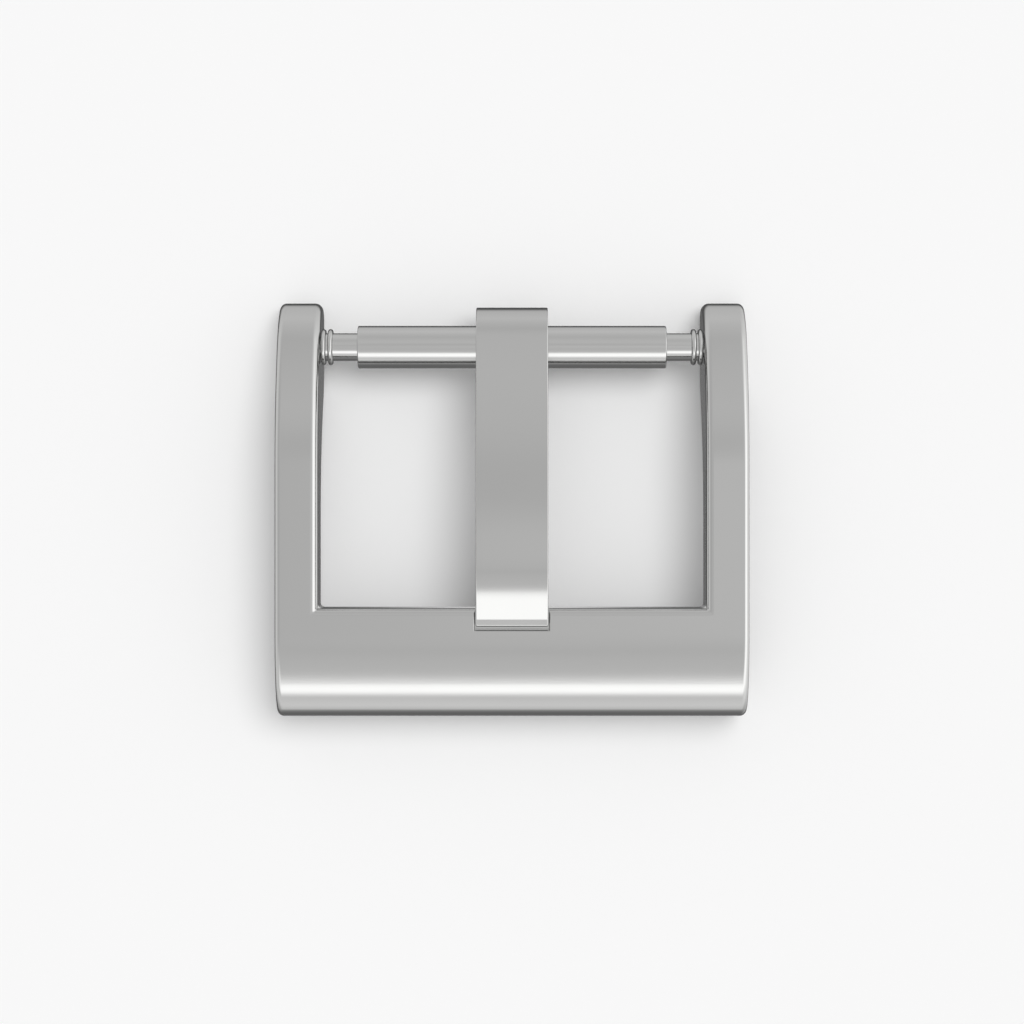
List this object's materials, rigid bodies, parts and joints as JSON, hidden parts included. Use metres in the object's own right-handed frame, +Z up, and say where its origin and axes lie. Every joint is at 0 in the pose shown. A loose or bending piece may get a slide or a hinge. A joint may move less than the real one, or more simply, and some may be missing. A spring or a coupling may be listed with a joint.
{
  "type": "strap buckle",
  "caption": "Arched tang buckle for a narrow strap: a frame open at the back, a tongue rolled round a bar, and a sprung bar whose flanged ends seat in the arms.",
  "frame": {"origin": "under the middle of the part, on the surface that it lies on", "axes": "+X along the bar, +Y from the front bar to the arms' ends, +Z up, out of the polished top"},
  "size_m": [0.022, 0.0196, 0.0049],
  "materials": {
    "frame_steel": "satin-polished stainless steel with softly blurred highlights",
    "tongue_steel": "satin-polished stainless steel",
    "bar_steel": "turned and polished stainless steel",
    "spring_wire": "drawn spring wire"
  },
  "bodies": {
    "frame": {"frame": "frame_steel"},
    "tongue": {"tongue": "tongue_steel"},
    "bar": {"tube": "bar_steel", "spring": "spring_wire"},
    "plunger_left": {"plunger_left": "bar_steel"},
    "plunger_right": {"plunger_right": "bar_steel"}
  },
  "joints": [
    {"name": "bar_turn", "type": "hinge", "parent": "frame", "child": "bar", "pos_m": [0, 0.0076, 0.00195], "axis": [1, 0, 0], "continuous": true},
    {"name": "tongue_hinge", "type": "hinge", "parent": "frame", "child": "tongue", "pos_m": [0, 0.0076, 0.00195], "axis": [-1, 0, 0], "range_deg": [0, 347]},
    {"name": "plunger_left_push", "type": "slide", "parent": "bar", "child": "plunger_left", "axis": [1, 0, 0], "range_m": [0, 0.00114], "stiffness_N_per_m": 400, "springref_m": -0.002, "deforming": ["spring"]},
    {"name": "plunger_right_push", "type": "slide", "parent": "bar", "child": "plunger_right", "axis": [-1, 0, 0], "range_m": [0, 0.00114], "stiffness_N_per_m": 400, "springref_m": -0.002, "deforming": ["spring"]}
  ]
}
